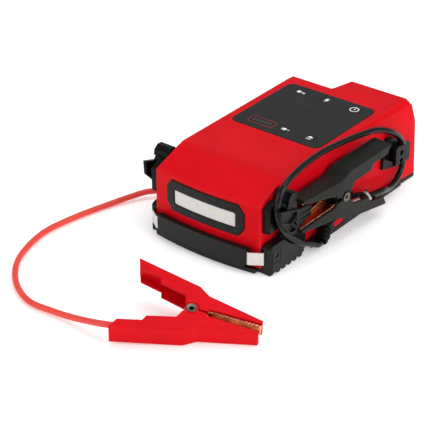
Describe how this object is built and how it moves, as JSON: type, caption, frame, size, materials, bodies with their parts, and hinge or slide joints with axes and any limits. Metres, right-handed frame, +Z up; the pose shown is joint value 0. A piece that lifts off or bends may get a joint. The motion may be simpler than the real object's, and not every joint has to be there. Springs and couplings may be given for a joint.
{
  "type": "jump starter pack",
  "caption": "Battery-fed booster box with a work lamp, control panel, strap handle and two cable clamps, one stowed on the side and one on the ground.",
  "frame": {"origin": "middle of the face of the round pad under the middle of the box, on the ground plane that the feet stand on", "axes": "+Z up; the work lamp and the strap handle face -Y; +X is the side that the black clamp is stowed on"},
  "size_m": [0.2956, 0.4407, 0.099],
  "materials": {
    "red_casing": "satin moulded",
    "black_casing": "satin moulded",
    "panel_plastic": "fine-grained",
    "key_plastic": "fine-grained",
    "smoked_window": "polished, smoked",
    "clear_lens": "clear moulded plastic",
    "white_plastic": "polished white",
    "circuit_board": "solder mask",
    "aluminium": "satin",
    "copper": "pressed copper",
    "bright_steel": "brushed",
    "soft_rubber": "matte",
    "red_cable_jacket": "smooth PVC",
    "black_cable_jacket": "smooth PVC",
    "red_clamp_plastic": "satin moulded",
    "black_clamp_plastic": "satin moulded"
  },
  "bodies": {
    "pack": {"upper_housing": "red_casing", "base_tray": "black_casing", "foot_front_left": "soft_rubber", "foot_front_right": "soft_rubber", "foot_rear_right": "soft_rubber", "foot_rear_left": "soft_rubber", "casing_screw_front_left": "bright_steel", "casing_screw_front_right": "bright_steel", "casing_screw_rear_right": "bright_steel", "casing_screw_rear_left": "bright_steel", "control_panel": "panel_plastic", "display_window": "smoked_window", "display_board": "circuit_board", "light_bezel": "black_casing", "light_lens": "clear_lens", "light_reflector": "white_plastic", "light_board": "circuit_board", "battery_dock": "black_casing", "battery_contact_block": "black_casing", "main_board": "circuit_board", "power_relay": "black_casing", "heat_sink": "aluminium", "super_capacitor_1": "aluminium", "super_capacitor_2": "aluminium", "super_capacitor_3": "aluminium", "positive_bus_bar": "copper", "negative_bus_bar": "copper", "side_block_left": "black_casing", "side_block_screw_left": "bright_steel", "side_block_right": "black_casing", "side_block_screw_right": "bright_steel", "front_cleat_left": "black_casing", "rear_cleat_left": "black_casing", "front_cleat_right": "black_casing", "rear_cleat_right": "black_casing", "strain_relief_left": "soft_rubber", "strain_relief_right": "soft_rubber", "black_clamp_cable_lever": "black_clamp_plastic", "black_clamp_cable_jaw": "copper", "black_clamp_cable_lug": "bright_steel", "black_clamp_cable_strap": "bright_steel", "black_clamp_rivet": "bright_steel", "black_clamp_spring": "bright_steel", "red_clamp_cable_lever": "red_clamp_plastic", "red_clamp_cable_jaw": "copper", "red_clamp_cable_lug": "bright_steel", "red_clamp_cable_strap": "bright_steel", "red_clamp_rivet": "bright_steel", "red_clamp_spring": "bright_steel", "black_cable": "black_cable_jacket", "red_cable": "red_cable_jacket"},
    "power_key": {"power_button": "key_plastic"},
    "jump_key": {"jump_button": "key_plastic"},
    "light_key": {"light_button": "key_plastic"},
    "handle": {"handle_grip": "black_casing", "handle_strap": "bright_steel"},
    "black_free_lever": {"black_clamp_free_lever": "black_clamp_plastic", "black_clamp_free_jaw": "copper"},
    "red_free_lever": {"red_clamp_free_lever": "red_clamp_plastic", "red_clamp_free_jaw": "copper"}
  },
  "joints": [
    {"name": "power_key_press", "type": "slide", "parent": "pack", "child": "power_key", "axis": [0, 0, -1], "range_m": [0, 0.0007]},
    {"name": "jump_key_press", "type": "slide", "parent": "pack", "child": "jump_key", "axis": [0, 0, -1], "range_m": [0, 0.0007]},
    {"name": "light_key_press", "type": "slide", "parent": "pack", "child": "light_key", "axis": [0, 0, -1], "range_m": [0, 0.0007]},
    {"name": "handle_pull", "type": "slide", "parent": "pack", "child": "handle", "axis": [0, -1, 0], "range_m": [0, 0.014]},
    {"name": "black_clamp_hinge", "type": "hinge", "parent": "pack", "child": "black_free_lever", "pos_m": [0.0842, -0.0221, 0.0506], "axis": [-0.9985, 0.0523, 0.0157], "range_deg": [0, 12], "deforming": ["black_clamp_spring"]},
    {"name": "red_clamp_hinge", "type": "hinge", "parent": "pack", "child": "red_free_lever", "pos_m": [0.0762, -0.2426, 0.0175], "axis": [0.1932, -0.1936, 0.9619], "range_deg": [-4, 26], "deforming": ["red_clamp_spring"]}
  ]
}
